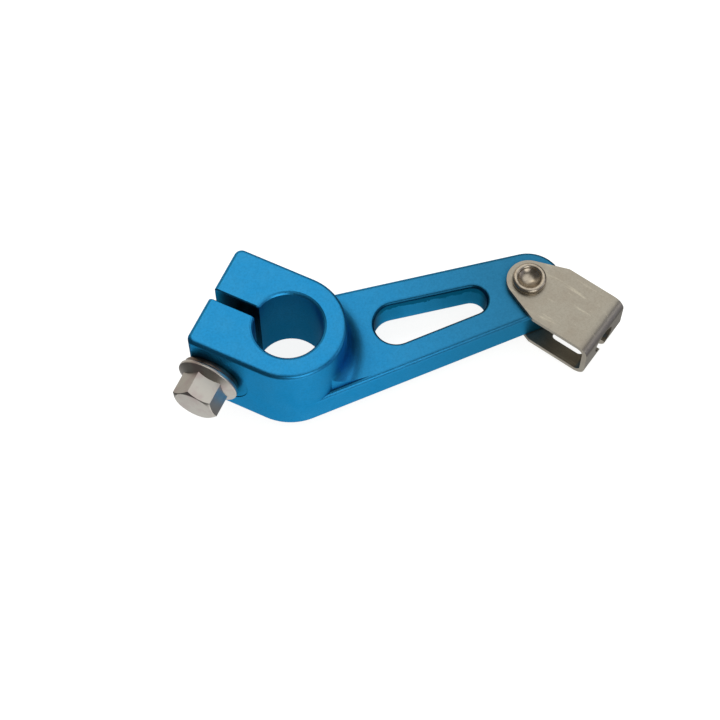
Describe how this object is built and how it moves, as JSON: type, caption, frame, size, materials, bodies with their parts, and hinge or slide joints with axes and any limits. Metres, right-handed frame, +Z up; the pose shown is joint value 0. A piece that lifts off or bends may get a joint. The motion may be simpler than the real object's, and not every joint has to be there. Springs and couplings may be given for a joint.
{
  "type": "clutch lever",
  "caption": "Motorcycle clutch release lever: a split clamp grips the release shaft, a slotted arm carries a swivelling sheet-steel clevis that the clutch cable hooks into.",
  "frame": {"origin": "on the axis of the clamp bore, half way up the boss, where the pinch bolt's axis passes", "axes": "+Z up the clamp bore, away from the arm's flat underside; +X from the bore to the clevis rivet"},
  "size_m": [0.0868, 0.0361, 0.0225],
  "materials": {
    "anodised_aluminium": "satin sky-blue anodising over a blasted casting",
    "zinc_plated_steel": "bright zinc plate",
    "spring_steel": "plain, lightly oiled",
    "sheet_steel": "rolled sheet, passivated, fine scratches",
    "rivet_steel": "polished by the rolling tool"
  },
  "bodies": {
    "lever": {"lever_arm": "anodised_aluminium", "pinch_bolt": "zinc_plated_steel", "lock_washer": "spring_steel"},
    "clevis": {"cable_clevis": "sheet_steel", "clevis_rivet": "rivet_steel"}
  },
  "joints": [
    {"name": "clevis_swivel", "type": "hinge", "parent": "lever", "child": "clevis", "pos_m": [0.048, 0, -0.00625], "axis": [0, 0, 1], "range_deg": [-71, 180]}
  ]
}
